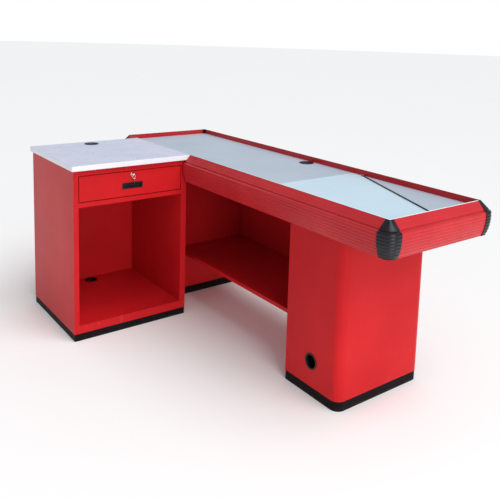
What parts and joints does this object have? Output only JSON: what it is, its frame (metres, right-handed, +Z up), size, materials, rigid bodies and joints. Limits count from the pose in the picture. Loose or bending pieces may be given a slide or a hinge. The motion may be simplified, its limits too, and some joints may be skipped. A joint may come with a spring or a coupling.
{
  "type": "checkout counter",
  "caption": "L-shaped supermarket checkout counter: cashier cabinet with a locking drawer and open bay, joined to a long railed counter on two pedestals with a shelf.",
  "frame": {"origin": "centre of the footprint's bounding box, on the floor", "axes": "+X along the counter towards the packing end, -Y on the cashier's side, +Z up"},
  "size_m": [2.136, 1.188, 0.852],
  "materials": {
    "red_paint": "glossy red powder coat",
    "red_rail": "glossy red extruded bumper",
    "black_plinth": "black plastic-faced skirting",
    "black_cap": "satin black moulding",
    "black_plastic": "satin black moulding",
    "worktop_laminate": "pale grey laminate on board",
    "board": "raw board",
    "grey_sheet": "satin grey sheet",
    "packing_steel": "fine brushed, pale",
    "frame_steel": "dark painted steel",
    "fastener_steel": "zinc plated",
    "lock_chrome": "polished",
    "black_bar": "black sleeve"
  },
  "bodies": {
    "root": {"cabinet_left_side": "red_paint", "cabinet_right_side": "red_paint", "cabinet_back_panel": "red_paint", "cabinet_floor": "red_paint", "cabinet_floor_ring": "black_plastic", "cabinet_top_rail": "red_paint", "cabinet_drawer_rail": "red_paint", "cabinet_rear_rail": "red_paint", "cabinet_dust_panel": "red_paint", "cabinet_plinth": "black_plinth", "cabinet_worktop": "worktop_laminate", "worktop_screws": "fastener_steel", "worktop_grommet_liner": "black_plastic", "runner_cabinet_members": "frame_steel", "runner_screws": "fastener_steel", "tabletop_board": "board", "counter_sheet": "grey_sheet", "packing_plate": "packing_steel", "rear_corner_sheet": "grey_sheet", "rear_rail": "red_rail", "right_rail": "red_rail", "front_rail": "red_rail", "left_rail": "red_rail", "rear_right_corner_cap": "black_cap", "front_right_corner_cap": "black_cap", "front_left_corner_cap": "black_cap", "rear_left_corner_cap": "black_cap", "counter_beams": "frame_steel", "cross_members": "frame_steel", "pedestal_bolts": "fastener_steel", "right_pedestal_shell": "red_paint", "right_pedestal_inner_panel": "red_paint", "right_pedestal_plinth": "black_plinth", "pedestal_cable_ring": "black_plastic", "left_pedestal_shell": "red_paint", "left_pedestal_inner_panel": "red_paint", "left_pedestal_plinth": "black_plinth", "modesty_panel": "red_paint", "shelf": "red_paint", "shelf_brackets": "red_paint", "counter_grommet_liner": "black_plastic", "diverter_pin": "fastener_steel", "joining_spacers": "frame_steel", "joining_bolts": "fastener_steel"},
    "drawer": {"drawer_box": "red_paint", "drawer_front": "red_paint", "drawer_pull": "black_plastic", "lock_housing": "lock_chrome", "lock_nut": "lock_chrome", "runner_drawer_members": "frame_steel"},
    "runner_slides": {"runner_middle_members": "frame_steel"},
    "lock_core": {"lock_cylinder": "lock_chrome", "lock_cam": "lock_chrome", "inserted_key": "lock_chrome"},
    "key_bunch": {"key_ring": "lock_chrome", "spare_key": "lock_chrome"},
    "worktop_cap": {"worktop_grommet_cap": "black_plastic"},
    "counter_cap": {"counter_grommet_cap": "black_plastic"},
    "diverter": {"diverter_bar": "black_bar"}
  },
  "joints": [
    {"name": "drawer_slide", "type": "slide", "parent": "root", "child": "drawer", "axis": [1, 0, 0], "range_m": [0, 0.4]},
    {"name": "runner_slide", "type": "slide", "parent": "root", "child": "runner_slides", "axis": [1, 0, 0], "range_m": [0, 0.2]},
    {"name": "key_turn", "type": "hinge", "parent": "drawer", "child": "lock_core", "pos_m": [-0.345, -0.2875, 0.779], "axis": [1, 0, 0], "range_deg": [0, 90]},
    {"name": "ring_swing", "type": "hinge", "parent": "lock_core", "child": "key_bunch", "pos_m": [-0.318, -0.2875, 0.779], "axis": [0, -1, 0], "range_deg": [0, 90]},
    {"name": "worktop_cap_lift", "type": "slide", "parent": "root", "child": "worktop_cap", "axis": [0, 0, 1], "range_m": [0, 0.05]},
    {"name": "counter_cap_lift", "type": "slide", "parent": "root", "child": "counter_cap", "axis": [0, 0, 1], "range_m": [0, 0.05]},
    {"name": "diverter_swing", "type": "hinge", "parent": "root", "child": "diverter", "pos_m": [0.397, 0.534, 0.827], "axis": [0, 0, 1], "range_deg": [-26, 0]}
  ],
  "couplings": [
    {"joint": "runner_slide", "follows": "drawer_slide", "ratio": 0.5}
  ]
}
